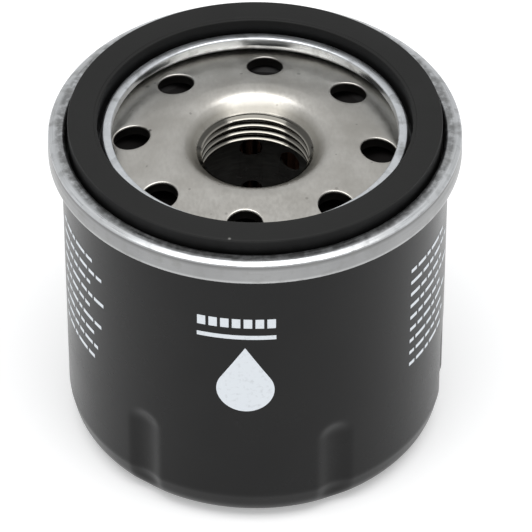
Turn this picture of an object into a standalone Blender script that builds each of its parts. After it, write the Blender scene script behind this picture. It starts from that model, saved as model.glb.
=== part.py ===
"""Spin-on engine oil filter, built from the separate pieces it is assembled from.

The origin is the centre of the closed end's standing face and +Z points up, towards the gasket.
Metres throughout. The outside is a drawn can, a seaming lid rolled onto its rim, a tapping plate with
a threaded hub, and a gasket. Inside are an anti-drainback valve, a pleated element on its support
spring, and a bypass valve in the element's lower end.
"""

import math

import bmesh
import bpy
from mathutils import Matrix

MM = 0.001

# Driving dimensions
HEIGHT = 64.0 * MM
CAN_RADIUS = 33.35 * MM
CORNER_RADIUS = 6.0 * MM
SHEET = 0.48 * MM
GAP = 0.3 * MM

# Rolled seam: five sheet layers side by side, from the lid's groove wall out to the seam's outside
SEAM_RADIUS = 35.6 * MM
SEAM_GAP = 0.15 * MM
SEAM_LAYER = SHEET + SEAM_GAP
SEAM_WALL_RADIUS = SEAM_RADIUS - SHEET - 4 * SEAM_LAYER
SEAM_TOP = HEIGHT - 2.4 * MM
SEAM_BOTTOM = HEIGHT - 6.7 * MM
SEAM_ROUND = 0.4 * MM

# Gasket and the lid's groove
GASKET_OUTER = 32.15 * MM
GASKET_INNER = 27.1 * MM
GASKET_HEIGHT = 5.4 * MM
GASKET_ROUND = 0.45 * MM
LIP_OUTER = 26.35 * MM
LIP_INNER = 24.64 * MM
LIP_DEPTH = 1.5 * MM
GROOVE_FLOOR = HEIGHT - GASKET_HEIGHT - GAP

# Tapping plate with its M20 x 1.5 thread
PLATE_THICKNESS = 2.0 * MM
PLATE_RADIUS = 32.4 * MM
PLATE_SLOPE = math.radians(9.5)
CREST_RADIUS = 15.3 * MM
CREST_Z = HEIGHT - 4.73 * MM
CREST_ROUND = 4.15 * MM
CREST_STEPS = 6
FLANGE_RADIUS = 26.0 * MM
HUB_RADIUS = 11.7 * MM
HUB_BOTTOM = HEIGHT - 12.6 * MM
MOUTH_SLOPE = math.radians(39.6)
THREAD_PITCH = 1.5 * MM
THREAD_MAJOR = 10.0 * MM
THREAD_MINOR = 9.188 * MM
THREAD_LEAD = 1.2 * MM
THREAD_OVERLAP = 0.288 * MM
INLET_HOLES = 8
INLET_RADIUS = 3.125 * MM
INLET_CIRCLE = 21.33 * MM
INLET_START = math.radians(-4.7)
VALVE_RIM = 25.8 * MM
VALVE_FOOT = 10.3 * MM
VALVE_SKIRT = 0.7 * MM

# Wrench flutes pressed into the closed end
FLUTES = 6
FLUTE_START = math.radians(54.5)
FLUTE_WIDTH = 6.3 * MM
FLUTE_DEPTH = 0.8 * MM
FLUTE_TOP = HEIGHT - 43.5 * MM
FLUTE_DOME_STEPS = 12

# Element
ELEMENT_TOP = HEIGHT - 13.7 * MM
ELEMENT_BOTTOM = 13.0 * MM
CAP_RADIUS = 29.5 * MM
CAP_SHEET = 0.5 * MM
CAP_FLANGE = 3.5 * MM
POTTING_THICKNESS = 1.1 * MM
TUBE_INNER = 12.0 * MM
TUBE_OUTER = 12.5 * MM
PLEATS = 48
PLEAT_OUTER = 28.2 * MM
PLEAT_INNER = 13.2 * MM
PAPER = 0.6 * MM
PERFORATION_RADIUS = 2.0 * MM
PERFORATION_SIDES = 8
PERFORATION_STEP = math.radians(-34.0)
PERFORATION_DROP = 1.8 * MM
PERFORATION_ROWS = 2
FIRST_PERFORATION = math.radians(93.3)
FIRST_PERFORATION_Z = HEIGHT - 16.7 * MM

# Bypass valve and springs
SEAT_RADIUS = 6.0 * MM
SEAT_TOP = ELEMENT_BOTTOM + 0.7 * MM
VALVE_RADIUS = 8.0 * MM
SEAL_THICKNESS = 0.8 * MM
DISC_THICKNESS = 0.7 * MM
RETAINER_RADIUS = 9.8 * MM
RETAINER_TOP = ELEMENT_BOTTOM + 11.8 * MM
BYPASS_SPRING_RADIUS = 5.0 * MM
BYPASS_WIRE_RADIUS = 0.45 * MM
ELEMENT_SPRING_RADIUS = 16.5 * MM
ELEMENT_WIRE_RADIUS = 0.9 * MM

ROUND = 40
SMALL_ROUND = 28
SMALLEST_ROUND = 20
THREAD_STEPS = 30
CORNER_STEPS = 5
SHARP_ANGLE = math.radians(35)

# name: (base colour, roughness, metallic)
FINISHES = {
    "black_paint": ((0.022, 0.022, 0.024, 1), 0.38, 0.0),
    "zinc_steel": ((0.62, 0.63, 0.62, 1), 0.35, 1.0),
    "plain_steel": ((0.45, 0.45, 0.44, 1), 0.4, 1.0),
    "dark_steel": ((0.1, 0.1, 0.105, 1), 0.4, 1.0),
    "spring_steel": ((0.3, 0.3, 0.31, 1), 0.35, 1.0),
    "black_rubber": ((0.03, 0.03, 0.031, 1), 0.65, 0.0),
    "brown_rubber": ((0.05, 0.02, 0.016, 1), 0.6, 0.0),
    "filter_paper": ((0.42, 0.2, 0.12, 1), 0.9, 0.0),
    "resin": ((0.24, 0.3, 0.2, 1), 0.5, 0.0),
    "seam_compound": ((0.35, 0.33, 0.3, 1), 0.7, 0.0),
}


# Scene, materials and collections


def clear_scene():
    for old in list(bpy.data.objects):
        bpy.data.objects.remove(old, do_unlink=True)


def new_collection(name):
    collection = bpy.data.collections.new(name)
    bpy.context.scene.collection.children.link(collection)
    return collection


def finish_material(finish):
    if finish in bpy.data.materials:
        return bpy.data.materials[finish]
    colour, roughness, metallic = FINISHES[finish]
    material = bpy.data.materials.new(finish)
    material.use_nodes = True
    shader = material.node_tree.nodes["Principled BSDF"]
    shader.inputs["Base Color"].default_value = colour
    shader.inputs["Roughness"].default_value = roughness
    shader.inputs["Metallic"].default_value = metallic
    return material


def add_part(name, mesh, finish, carrier=None):
    """Put a finished mesh in the model as one named piece, on the empty that carries it."""
    mesh.name = name
    mesh.shade_smooth()
    mesh.set_sharp_from_angle(angle=SHARP_ANGLE)
    mesh.materials.clear()
    mesh.materials.append(finish_material(finish))
    part = bpy.data.objects.new(name, mesh)
    part.parent = carrier
    parts.objects.link(part)
    return part


def add_cutter(name, mesh):
    mesh.name = name
    cutter = bpy.data.objects.new(name, mesh)
    cutter.hide_render = True
    cutter.display_type = "WIRE"
    cutters.objects.link(cutter)
    return cutter


def add_carrier(name):
    """An empty on the filter's axis, along which its pieces slide."""
    carrier = bpy.data.objects.new(name, None)
    carrier.empty_display_size = 5 * MM
    parts.objects.link(carrier)
    return carrier


def cut(part, cutter):
    boolean = part.modifiers.new("cut_" + cutter.name, "BOOLEAN")
    boolean.operation = "DIFFERENCE"
    boolean.solver = "EXACT"
    boolean.object = cutter


# Shapes


def evaluated_mesh(source):
    """The mesh that an object's modifiers or curve settings give, with its loose caps joined on."""
    bpy.context.scene.collection.objects.link(source)
    depsgraph = bpy.context.evaluated_depsgraph_get()
    mesh = bpy.data.meshes.new_from_object(source.evaluated_get(depsgraph))
    bpy.data.objects.remove(source, do_unlink=True)
    shape = bmesh.new()
    shape.from_mesh(mesh)
    bmesh.ops.remove_doubles(shape, verts=shape.verts, dist=0.001 * MM)
    shape.to_mesh(mesh)
    shape.free()
    return mesh


def screw_mesh(points, closed, steps, pitch=0.0, turns=1):
    """Sweep a profile of (radius, height) points about Z, in a helix where a pitch is given."""
    edges = [(i, i + 1) for i in range(len(points) - 1)]
    if closed:
        edges.append((len(points) - 1, 0))
    profile = bpy.data.meshes.new("profile")
    profile.from_pydata([(radius, 0, height) for radius, height in points], edges, [])
    source = bpy.data.objects.new("profile", profile)
    screw = source.modifiers.new("screw", "SCREW")
    screw.axis = "Z"
    screw.angle = math.tau
    screw.steps = steps
    screw.render_steps = steps
    screw.screw_offset = pitch
    screw.iterations = turns
    screw.use_merge_vertices = pitch == 0.0
    screw.merge_threshold = 0.001 * MM
    return evaluated_mesh(source)


def turned_ring(points, steps=ROUND):
    """A ring from a closed outline that runs down its outer side."""
    return screw_mesh(points, True, steps)


def turned_solid(points, steps=ROUND):
    """A solid from an outline that starts and ends on the axis and runs down its outer side."""
    return screw_mesh(points, False, steps)


def plain_ring(inner, outer, low, high, steps=ROUND):
    return turned_ring([(inner, high), (outer, high), (outer, low), (inner, low)], steps)


def arc(centre, radius, start, end, steps):
    """Points of a circular arc in the (radius, height) plane, angles in degrees from +radius."""
    angles = [math.radians(start + (end - start) * i / steps) for i in range(steps + 1)]
    return [(centre[0] + radius * math.cos(a), centre[1] + radius * math.sin(a)) for a in angles]


def sheet_outline(path, thickness):
    """Closed outline of bent sheet that lies to the right of a path, with mitred corners."""
    inner = []
    for i, point in enumerate(path):
        normals = []
        for a, b in ((i - 1, i), (i, i + 1)):
            if a < 0 or b >= len(path):
                continue
            run = (path[b][0] - path[a][0], path[b][1] - path[a][1])
            length = math.hypot(*run)
            normals.append((run[1] / length, -run[0] / length))
        total = (sum(n[0] for n in normals), sum(n[1] for n in normals))
        size = math.hypot(*total)
        mitre = (total[0] / size, total[1] / size)
        reach = thickness / (mitre[0] * normals[0][0] + mitre[1] * normals[0][1])
        inner.append((point[0] + mitre[0] * reach, point[1] + mitre[1] * reach))
    return path + inner[::-1]


def rounded_step(point, before, after, size):
    """Two points that take a corner off: size short of it and size past it."""
    ends = []
    for other in (before, after):
        run = (other[0] - point[0], other[1] - point[1])
        length = math.hypot(*run)
        ends.append((point[0] + run[0] / length * size, point[1] + run[1] / length * size))
    return ends


def coil_mesh(radius, wire_radius, low, high, active_turns, steps_per_turn):
    """A compression spring between two heights, with a flat turn at each end."""
    bottom = low + wire_radius
    top = high - wire_radius
    turns = active_turns + 1.5
    count = round(turns * steps_per_turn)
    points = []
    for i in range(count + 1):
        turn = turns * i / count
        rise = min(max((turn - 0.75) / active_turns, 0.0), 1.0)
        points.append((radius, math.tau * turn, bottom + rise * (top - bottom)))
    curve = bpy.data.curves.new("coil", "CURVE")
    curve.dimensions = "3D"
    curve.bevel_depth = wire_radius
    curve.bevel_resolution = 2
    curve.use_fill_caps = True
    spline = curve.splines.new("POLY")
    spline.points.add(count)
    for target, (r, angle, z) in zip(spline.points, points):
        target.co = (r * math.cos(angle), r * math.sin(angle), z, 1)
    return evaluated_mesh(bpy.data.objects.new("coil", curve))


def extruded_outline(loops, low, high):
    """A solid of flat closed loops of (x, y) points, an inner loop making a hole."""
    curve = bpy.data.curves.new("outline", "CURVE")
    curve.dimensions = "2D"
    curve.fill_mode = "BOTH"
    curve.extrude = (high - low) / 2
    for loop in loops:
        spline = curve.splines.new("POLY")
        spline.points.add(len(loop) - 1)
        for target, (x, y) in zip(spline.points, loop):
            target.co = (x, y, 0, 1)
        spline.use_cyclic_u = True
    mesh = evaluated_mesh(bpy.data.objects.new("outline", curve))
    lift = (high + low) / 2
    for vertex in mesh.vertices:
        vertex.co.z += lift
    return mesh


def peg_mesh(pegs, sides):
    """Round pegs in one mesh; each is (radius, length, matrix) about its own centre."""
    shape = bmesh.new()
    for radius, length, matrix in pegs:
        bmesh.ops.create_cone(
            shape,
            cap_ends=True,
            segments=sides,
            radius1=radius,
            radius2=radius,
            depth=length,
            matrix=matrix,
        )
    mesh = bpy.data.meshes.new("pegs")
    shape.to_mesh(mesh)
    shape.free()
    return mesh


def rotation(angle, axis):
    return Matrix.Rotation(angle, 4, axis)


# Outside: can, lid, seam, gasket and tapping plate


def flute_tool(extra):
    """The round-ended bars that form the flutes, grown by the sheet's thickness for the inside."""
    bar_radius = (FLUTE_WIDTH**2 / 4 + FLUTE_DEPTH**2) / (2 * FLUTE_DEPTH)
    centre_radius = CAN_RADIUS - FLUTE_DEPTH + bar_radius
    rise = math.sqrt(bar_radius**2 - (centre_radius - CAN_RADIUS) ** 2)
    dome_centre = FLUTE_TOP - rise
    radius = bar_radius + extra
    foot = -dome_centre - 3 * MM
    dome = arc((0, 0), radius, 90, 0, FLUTE_DOME_STEPS)[1:]
    outline = [(0, radius)] + dome + [(radius, foot), (0, foot)]
    bar = turned_solid(outline)
    tools = bmesh.new()
    for i in range(FLUTES):
        angle = FLUTE_START + math.tau * i / FLUTES
        place = rotation(angle, "Z") @ Matrix.Translation((centre_radius, 0, dome_centre))
        copy = bar.copy()
        copy.transform(place)
        tools.from_mesh(copy)
        bpy.data.meshes.remove(copy)
    tools.to_mesh(bar)
    tools.free()
    return bar


def make_can():
    """Drawn cup with a stamped base panel, a hook at its rim for the seam, and pressed flutes."""
    hook_inner = SEAM_WALL_RADIUS + SEAM_LAYER
    hook_outer = hook_inner + 2 * SEAM_LAYER
    hook_top = SEAM_TOP - 1.25 * MM
    flare_low = SEAM_BOTTOM - 1.4 * MM
    flare_high = SEAM_BOTTOM - 0.5 * MM
    stand_radius = CAN_RADIUS - CORNER_RADIUS
    panel_radius = stand_radius - 6.6 * MM
    panel_rise = 1.0 * MM
    panel_foot = panel_radius + 1.3 * MM

    outside = [
        (0, hook_top),
        (hook_outer + SHEET, hook_top),
        (hook_outer + SHEET, SEAM_BOTTOM + 0.7 * MM),
        (hook_outer, SEAM_BOTTOM + 0.7 * MM),
        (hook_outer, hook_top - SHEET),
        (hook_inner + SHEET, hook_top - SHEET),
        (hook_inner + SHEET, flare_high),
        (CAN_RADIUS, flare_low),
    ]
    outside += arc((stand_radius, CORNER_RADIUS), CORNER_RADIUS, 0, -90, CORNER_STEPS)
    outside += [(panel_foot, 0), (panel_radius, panel_rise), (0, panel_rise)]

    inside = [
        (0, HEIGHT),
        (hook_inner, HEIGHT),
        (hook_inner, flare_high),
        (CAN_RADIUS - SHEET, flare_low),
    ]
    inside += arc((stand_radius, CORNER_RADIUS), CORNER_RADIUS - SHEET, 0, -90, CORNER_STEPS)
    inside += [
        (panel_foot - SHEET / 2, SHEET),
        (panel_radius - SHEET / 2, panel_rise + SHEET),
        (0, panel_rise + SHEET),
    ]

    cavity = add_cutter("can_cavity", turned_solid(inside))
    cut(cavity, add_cutter("flute_bars_inside", flute_tool(SHEET)))
    can = add_part("can", turned_solid(outside), "black_paint")
    cut(can, cavity)
    cut(can, add_cutter("flute_bars_outside", flute_tool(0.0)))


def make_seaming_lid():
    """Rolled lid: a hemmed lip inside the gasket, the gasket groove, and the outer seam roll."""
    cover_hook = SEAM_WALL_RADIUS + 2 * SEAM_LAYER
    lip_top = SEAM_TOP
    corners = [
        (LIP_INNER, lip_top - LIP_DEPTH),
        (LIP_INNER, lip_top),
        (LIP_OUTER, lip_top),
        (LIP_OUTER, GROOVE_FLOOR),
        (SEAM_WALL_RADIUS, GROOVE_FLOOR),
        (SEAM_WALL_RADIUS, SEAM_TOP),
        (SEAM_RADIUS, SEAM_TOP),
        (SEAM_RADIUS, SEAM_BOTTOM),
        (cover_hook, SEAM_BOTTOM),
        (cover_hook, SEAM_TOP - 1.95 * MM),
    ]
    rounded = {1, 2, 5, 6}
    path = []
    for i, corner in enumerate(corners):
        if i in rounded:
            path += rounded_step(corner, corners[i - 1], corners[i + 1], SEAM_ROUND)
        else:
            path.append(corner)
    add_part("seaming_lid", turned_ring(sheet_outline(path, SHEET)), "zinc_steel")


def make_seam_compound():
    inner = SEAM_WALL_RADIUS + SEAM_LAYER + 0.2 * MM
    outer = SEAM_RADIUS - SEAM_LAYER - 0.2 * MM
    ring = plain_ring(inner, outer, SEAM_TOP - 1.1 * MM, SEAM_TOP - 0.6 * MM)
    add_part("seam_compound", ring, "seam_compound")


def make_gasket():
    low = HEIGHT - GASKET_HEIGHT
    outline = [
        (GASKET_INNER, HEIGHT - GASKET_ROUND),
        (GASKET_INNER + GASKET_ROUND, HEIGHT),
        (GASKET_OUTER - GASKET_ROUND, HEIGHT),
        (GASKET_OUTER, HEIGHT - GASKET_ROUND),
        (GASKET_OUTER, low),
        (GASKET_INNER, low),
    ]
    add_part("gasket", turned_ring(outline), "black_rubber")


def plate_top(radius):
    """Height of the tapping plate's upper face, which slopes down from its crest."""
    return CREST_Z - (radius - CREST_RADIUS) * math.tan(PLATE_SLOPE)


def plate_mouth():
    """The crest's rounding and the lead-in cone, from the thread's crest out to the sloping web."""
    centre = (
        CREST_RADIUS - CREST_ROUND * math.sin(PLATE_SLOPE),
        CREST_Z - CREST_ROUND * math.cos(PLATE_SLOPE),
    )
    cone_side = 90 + math.degrees(MOUTH_SLOPE)
    web_side = 90 - math.degrees(PLATE_SLOPE)
    crest = arc(centre, CREST_ROUND, cone_side, web_side, CREST_STEPS)
    throat_z = crest[0][1] - (crest[0][0] - THREAD_MINOR) * math.tan(MOUTH_SLOPE)
    return [(THREAD_MINOR, throat_z)] + crest


def thread_cutter():
    """The groove of the internal thread, swept as a right-hand helix past both ends of the hub."""
    crest_half = THREAD_PITCH / 16
    reach = THREAD_MAJOR - THREAD_MINOR + THREAD_OVERLAP
    root_half = crest_half + reach * math.tan(math.radians(30))
    start = HUB_BOTTOM - THREAD_LEAD
    profile = [
        (THREAD_MAJOR - reach, start + root_half),
        (THREAD_MAJOR, start + crest_half),
        (THREAD_MAJOR, start - crest_half),
        (THREAD_MAJOR - reach, start - root_half),
    ]
    turns = math.ceil((CREST_Z - 2 * MM - start) / THREAD_PITCH)
    mesh = screw_mesh(profile, True, THREAD_STEPS, THREAD_PITCH, turns)
    shape = bmesh.new()
    shape.from_mesh(mesh)
    ends = [edge for edge in shape.edges if edge.is_boundary]
    bmesh.ops.holes_fill(shape, edges=ends)
    bmesh.ops.recalc_face_normals(shape, faces=shape.faces)
    shape.to_mesh(mesh)
    shape.free()
    return add_cutter("thread_groove", mesh)


def make_tapping_plate():
    """Thick pressed plate: flat rim under the lid, sloping web with inlet holes, threaded hub."""
    drop = PLATE_THICKNESS / math.cos(PLATE_SLOPE)
    rim_z = plate_top(FLANGE_RADIUS)
    rim = [
        (FLANGE_RADIUS, rim_z),
        (PLATE_RADIUS, rim_z),
        (PLATE_RADIUS, rim_z - PLATE_THICKNESS),
        (FLANGE_RADIUS, rim_z - drop),
    ]
    underside = [
        (CREST_RADIUS, CREST_Z - drop),
        (CREST_RADIUS - 1.8 * MM, CREST_Z - drop - 0.4 * MM),
        (HUB_RADIUS, CREST_Z - drop - 1.3 * MM),
        (HUB_RADIUS, HUB_BOTTOM + 0.5 * MM),
        (HUB_RADIUS - 0.5 * MM, HUB_BOTTOM),
        (THREAD_MINOR, HUB_BOTTOM),
    ]
    plate = add_part("tapping_plate", turned_ring(plate_mouth() + rim + underside), "zinc_steel")

    pegs = []
    for i in range(INLET_HOLES):
        turn = rotation(INLET_START + math.tau * i / INLET_HOLES, "Z")
        place = Matrix.Translation((INLET_CIRCLE, 0, plate_top(INLET_CIRCLE)))
        pegs.append((INLET_RADIUS, 4 * PLATE_THICKNESS, turn @ place @ rotation(PLATE_SLOPE, "Y")))
    cut(plate, add_cutter("inlet_holes", peg_mesh(pegs, SMALLEST_ROUND)))
    cut(plate, thread_cutter())


# Anti-drainback valve


def make_anti_drainback_valve(carrier):
    """Rubber collar round the hub, with a thin skirt whose rim seals outside the inlet holes."""
    foot = ELEMENT_TOP + GAP
    foot_top = HUB_BOTTOM - GAP
    collar_inner = HUB_RADIUS + GAP
    collar_outer = HUB_RADIUS + 2.3 * MM
    collar_top = HUB_BOTTOM + 2.0 * MM
    lip_top = plate_top(FLANGE_RADIUS) - PLATE_THICKNESS - GAP
    outline = [
        (collar_inner, collar_top),
        (collar_outer, collar_top),
        (VALVE_RIM - 1.6 * MM, lip_top - VALVE_SKIRT),
        (VALVE_RIM - 0.8 * MM, lip_top),
        (VALVE_RIM, lip_top),
        (VALVE_RIM, lip_top - 0.3 * MM),
        (VALVE_RIM - 0.9 * MM, lip_top - 1.5 * MM),
        (collar_outer + 0.6 * MM, collar_top - 1.0 * MM),
        (collar_outer, collar_top - 1.6 * MM),
        (collar_outer, foot),
        (VALVE_FOOT, foot),
        (VALVE_FOOT, foot_top),
        (collar_inner, foot_top),
    ]
    add_part("anti_drainback_valve", turned_ring(outline), "brown_rubber", carrier)


# Element


def make_end_caps(carrier):
    """Shallow sheet dishes over the two ends of the pleats, the lower one bored for the valve."""
    skirt_inner = CAP_RADIUS - CAP_SHEET
    edge = 0.2 * MM
    upper = [
        (TUBE_INNER, ELEMENT_TOP),
        (CAP_RADIUS - edge, ELEMENT_TOP),
        (CAP_RADIUS, ELEMENT_TOP - edge),
        (CAP_RADIUS, ELEMENT_TOP - CAP_FLANGE),
        (skirt_inner, ELEMENT_TOP - CAP_FLANGE),
        (skirt_inner, ELEMENT_TOP - CAP_SHEET),
        (TUBE_INNER, ELEMENT_TOP - CAP_SHEET),
    ]
    add_part("upper_end_cap", turned_ring(upper), "plain_steel", carrier)
    bore = RETAINER_RADIUS + 2 * GAP + CAP_SHEET
    lower = [
        (bore, ELEMENT_BOTTOM + CAP_SHEET),
        (skirt_inner, ELEMENT_BOTTOM + CAP_SHEET),
        (skirt_inner, ELEMENT_BOTTOM + CAP_FLANGE),
        (CAP_RADIUS, ELEMENT_BOTTOM + CAP_FLANGE),
        (CAP_RADIUS, ELEMENT_BOTTOM + edge),
        (CAP_RADIUS - edge, ELEMENT_BOTTOM),
        (bore, ELEMENT_BOTTOM),
    ]
    add_part("lower_end_cap", turned_ring(lower), "plain_steel", carrier)


def make_potting(carrier):
    """Discs of adhesive that hold the pleats in the end caps."""
    inner = TUBE_OUTER + GAP
    outer = CAP_RADIUS - CAP_SHEET - GAP
    high = ELEMENT_TOP - CAP_SHEET - GAP
    add_part("upper_potting", plain_ring(inner, outer, high - POTTING_THICKNESS, high), "resin", carrier)
    low = ELEMENT_BOTTOM + CAP_SHEET + GAP
    add_part("lower_potting", plain_ring(inner, outer, low, low + POTTING_THICKNESS), "resin", carrier)


def pleat_loop(tip_radius, tip_half, root_radius, root_half):
    """One face of the folded paper: a tip and a root for each pleat, all round."""
    loop = []
    for i in range(PLEATS):
        tip = math.tau * i / PLEATS
        root = tip + math.pi / PLEATS
        for radius, angle, half in ((tip_radius, tip, tip_half), (root_radius, root, root_half)):
            for side in (-1, 1):
                turn = angle + side * half / radius
                loop.append((radius * math.cos(turn), radius * math.sin(turn)))
    return loop


def media_ends():
    """Lowest and highest point of the pleats, between the two discs of adhesive."""
    clear = CAP_SHEET + POTTING_THICKNESS + 2 * GAP
    return ELEMENT_BOTTOM + clear, ELEMENT_TOP - clear


def make_filter_media(carrier):
    fold = PAPER + 0.15 * MM
    slack = 0.15 * MM
    outer_face = pleat_loop(PLEAT_OUTER, fold, PLEAT_INNER + fold, slack)
    inner_face = pleat_loop(PLEAT_OUTER - fold, slack, PLEAT_INNER, fold)
    low, high = media_ends()
    add_part("filter_media", extruded_outline([outer_face, inner_face], low, high), "filter_paper", carrier)


def make_media_seam_clip(carrier):
    """Channel of thin strip crimped over the pleat where the two ends of the paper meet."""
    strip = 0.3 * MM
    inside = PAPER + 0.35 * MM
    outside = inside + strip
    back = PLEAT_OUTER + GAP
    leg_end = PLEAT_OUTER - 3 * MM
    loop = [
        (leg_end, -outside),
        (back + strip, -outside),
        (back + strip, outside),
        (leg_end, outside),
        (leg_end, inside),
        (back, inside),
        (back, -inside),
        (leg_end, -inside),
    ]
    low, high = media_ends()
    add_part("media_seam_clip", extruded_outline([loop], low, high), "plain_steel", carrier)


def make_centre_tube(carrier):
    """Tube wound from perforated strip, so its rows of holes run down in a helix."""
    low = ELEMENT_BOTTOM + CAP_SHEET + GAP
    high = ELEMENT_TOP - CAP_SHEET - GAP
    tube = add_part("centre_tube", plain_ring(TUBE_INNER, TUBE_OUTER, low, high), "dark_steel", carrier)
    drop_per_turn = PERFORATION_DROP * math.tau / abs(PERFORATION_STEP)
    row_spacing = drop_per_turn / PERFORATION_ROWS
    margin = PERFORATION_RADIUS + 0.15 * MM
    reach = math.ceil((high - low + drop_per_turn) / PERFORATION_DROP)
    pegs = []
    for row in range(PERFORATION_ROWS):
        for i in range(-reach, reach + 1):
            z = FIRST_PERFORATION_Z - PERFORATION_DROP * i - row_spacing * row
            if not low + margin < z < high - margin:
                continue
            turn = rotation(FIRST_PERFORATION + PERFORATION_STEP * i, "Z")
            place = Matrix.Translation((TUBE_INNER, 0, z)) @ rotation(math.pi / 2, "Y")
            pegs.append((PERFORATION_RADIUS, 4 * MM, turn @ place))
    cut(tube, add_cutter("perforations", peg_mesh(pegs, PERFORATION_SIDES)))


# Bypass valve


def make_bypass_body(carrier):
    """Stamped cup in the lower end cap, with a raised bead for the valve to seal on."""
    cup = RETAINER_RADIUS + GAP
    bottom = ELEMENT_BOTTOM - GAP
    outline = [
        (SEAT_RADIUS, SEAT_TOP),
        (SEAT_RADIUS + 0.8 * MM, SEAT_TOP),
        (SEAT_RADIUS + 1.2 * MM, ELEMENT_BOTTOM),
        (cup, ELEMENT_BOTTOM),
        (cup, ELEMENT_BOTTOM + 3 * MM),
        (cup + CAP_SHEET, ELEMENT_BOTTOM + 3 * MM),
        (cup + CAP_SHEET, bottom),
        (cup + 2.5 * MM, bottom),
        (cup + 2.5 * MM, bottom - CAP_SHEET),
        (cup, bottom - CAP_SHEET),
        (cup - 0.4 * MM, ELEMENT_BOTTOM - CAP_SHEET),
        (SEAT_RADIUS + 0.4 * MM, ELEMENT_BOTTOM - CAP_SHEET),
        (SEAT_RADIUS, ELEMENT_BOTTOM),
    ]
    add_part("bypass_body", turned_ring(outline, SMALL_ROUND), "plain_steel", carrier)


def make_bypass_retainer(carrier):
    """Windowed cage that stands in the cup and holds the spring's upper end."""
    wall_inner = RETAINER_RADIUS - CAP_SHEET
    foot = ELEMENT_BOTTOM + GAP
    guide_hole = 2.6 * MM
    shoulder = 1.0 * MM
    outline = [
        (guide_hole, RETAINER_TOP),
        (RETAINER_RADIUS - shoulder, RETAINER_TOP),
        (RETAINER_RADIUS, RETAINER_TOP - shoulder),
        (RETAINER_RADIUS, foot),
        (wall_inner, foot),
        (wall_inner, RETAINER_TOP - shoulder - 0.2 * MM),
        (wall_inner - 0.7 * MM, RETAINER_TOP - CAP_SHEET),
        (guide_hole, RETAINER_TOP - CAP_SHEET),
    ]
    retainer = add_part("bypass_retainer", turned_ring(outline, SMALL_ROUND), "plain_steel", carrier)
    window_width = 7 * MM
    window_height = 6 * MM
    shape = bmesh.new()
    for i in range(3):
        turn = rotation(math.tau * i / 3, "Z")
        place = Matrix.Translation((RETAINER_RADIUS, 0, ELEMENT_BOTTOM + 7 * MM))
        size = Matrix.Diagonal((4 * MM, window_width, window_height, 1))
        bmesh.ops.create_cube(shape, size=1, matrix=turn @ place @ size)
    windows = bpy.data.meshes.new("windows")
    shape.to_mesh(windows)
    shape.free()
    cut(retainer, add_cutter("retainer_windows", windows))


def make_bypass_valve(carrier):
    """The lifting pieces: rubber seal, steel disc, and the rivet that joins and guides them."""
    shank = 1.4 * MM
    head = 2.6 * MM
    seal_low = SEAT_TOP + GAP
    seal_high = seal_low + SEAL_THICKNESS
    disc_low = seal_high + GAP
    disc_high = disc_low + DISC_THICKNESS
    seal = plain_ring(shank + GAP, VALVE_RADIUS - 0.2 * MM, seal_low, seal_high, SMALL_ROUND)
    add_part("bypass_seal", seal, "black_rubber", carrier)
    disc = plain_ring(shank + GAP, VALVE_RADIUS, disc_low, disc_high, SMALL_ROUND)
    add_part("bypass_disc", disc, "plain_steel", carrier)
    rivet = [
        (0, disc_high + 2.4 * MM),
        (head - 0.9 * MM, disc_high + 2.4 * MM),
        (head - 0.4 * MM, disc_high + 1.9 * MM),
        (head - 0.4 * MM, disc_high + GAP),
        (shank, disc_high + GAP),
        (shank, seal_low - GAP),
        (head, seal_low - GAP),
        (head - 0.5 * MM, seal_low - GAP - 0.6 * MM),
        (0, seal_low - GAP - 0.6 * MM),
    ]
    add_part("bypass_rivet", turned_solid(rivet, SMALLEST_ROUND), "plain_steel", carrier)
    return disc_high


def make_springs(element, disc_high):
    low = disc_high + GAP
    high = RETAINER_TOP - CAP_SHEET - GAP
    bypass = coil_mesh(BYPASS_SPRING_RADIUS, BYPASS_WIRE_RADIUS, low, high, 2.5, 14)
    add_part("bypass_spring", bypass, "spring_steel", element)
    floor = 1.0 * MM + SHEET + GAP
    support = coil_mesh(
        ELEMENT_SPRING_RADIUS, ELEMENT_WIRE_RADIUS, floor, ELEMENT_BOTTOM - GAP, 1.75, 20
    )
    add_part("element_spring", support, "spring_steel")


clear_scene()
parts = new_collection("oil_filter")
cutters = new_collection("cutters")

make_can()
make_seaming_lid()
make_seam_compound()
make_gasket()
make_tapping_plate()

drainback_carrier = add_carrier("drainback_carrier")
make_anti_drainback_valve(drainback_carrier)

element_carrier = add_carrier("element_carrier")
make_end_caps(element_carrier)
make_potting(element_carrier)
make_filter_media(element_carrier)
make_media_seam_clip(element_carrier)
make_centre_tube(element_carrier)
make_bypass_body(element_carrier)
make_bypass_retainer(element_carrier)

valve_carrier = add_carrier("valve_carrier")
valve_carrier.parent = element_carrier
valve_top = make_bypass_valve(valve_carrier)
make_springs(element_carrier, valve_top)
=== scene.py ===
"""Looks of a spin-on engine oil filter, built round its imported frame.

Metres throughout. The closed end stands on z = 0, +Z points up towards the gasket, and the printed
front of the can faces -Y.
"""

import math

import bmesh
import bpy
from mathutils import Matrix, Vector


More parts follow.
